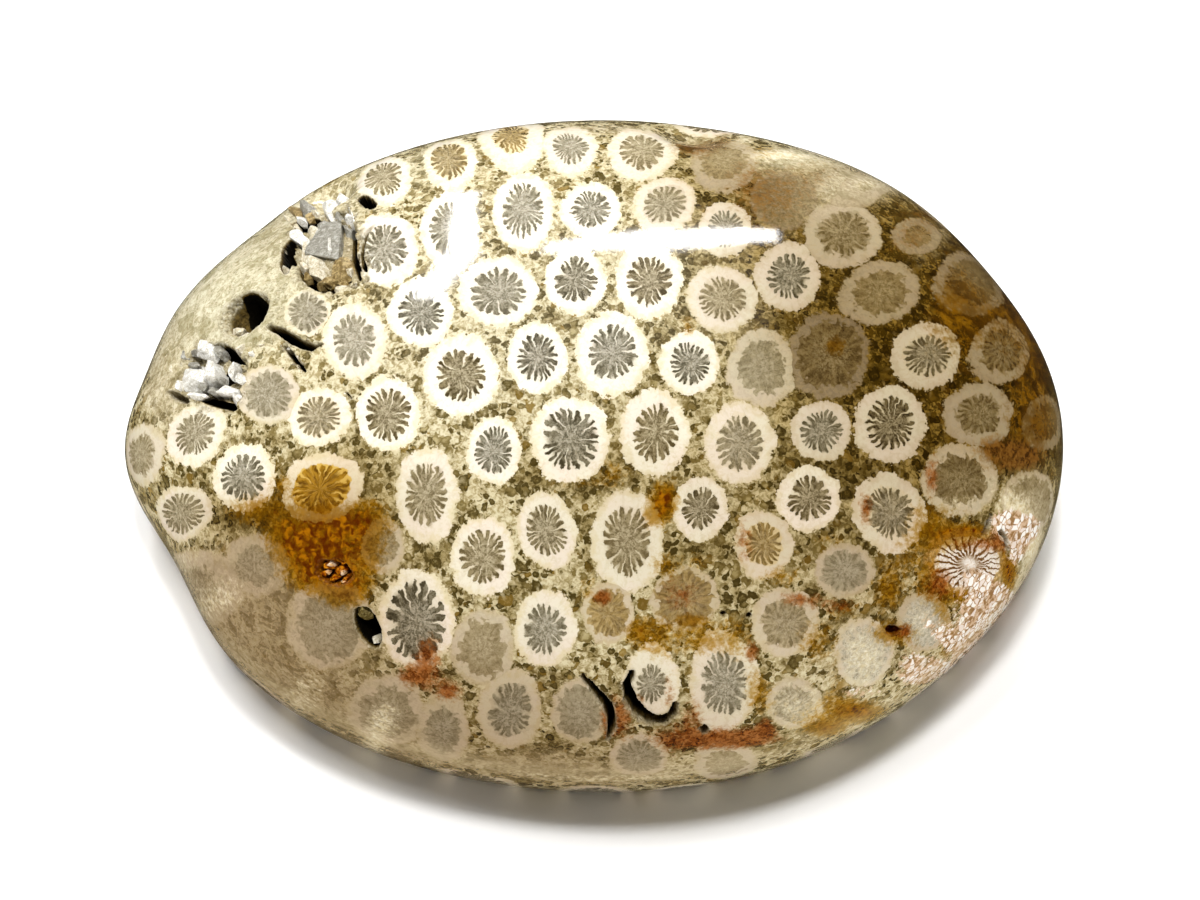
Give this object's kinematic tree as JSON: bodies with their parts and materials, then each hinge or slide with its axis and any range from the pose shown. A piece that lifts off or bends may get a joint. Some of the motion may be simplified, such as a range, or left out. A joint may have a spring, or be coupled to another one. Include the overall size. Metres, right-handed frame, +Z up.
{
  "type": "fossil coral head",
  "caption": "Hand-polished oval dome of agatised fossil coral, cut flat below, showing star-shaped corallites and open vugs.",
  "frame": {"origin": "middle of the flat cut base, on the surface it rests on", "axes": "+X along the length towards the blunt right end, +Y to the back, +Z up through the crown"},
  "size_m": [0.0646, 0.0473, 0.0245],
  "materials": {
    "coral_stone": "polished"
  },
  "bodies": {
    "root": {"coral_head": "coral_stone"}
  },
  "joints": []
}
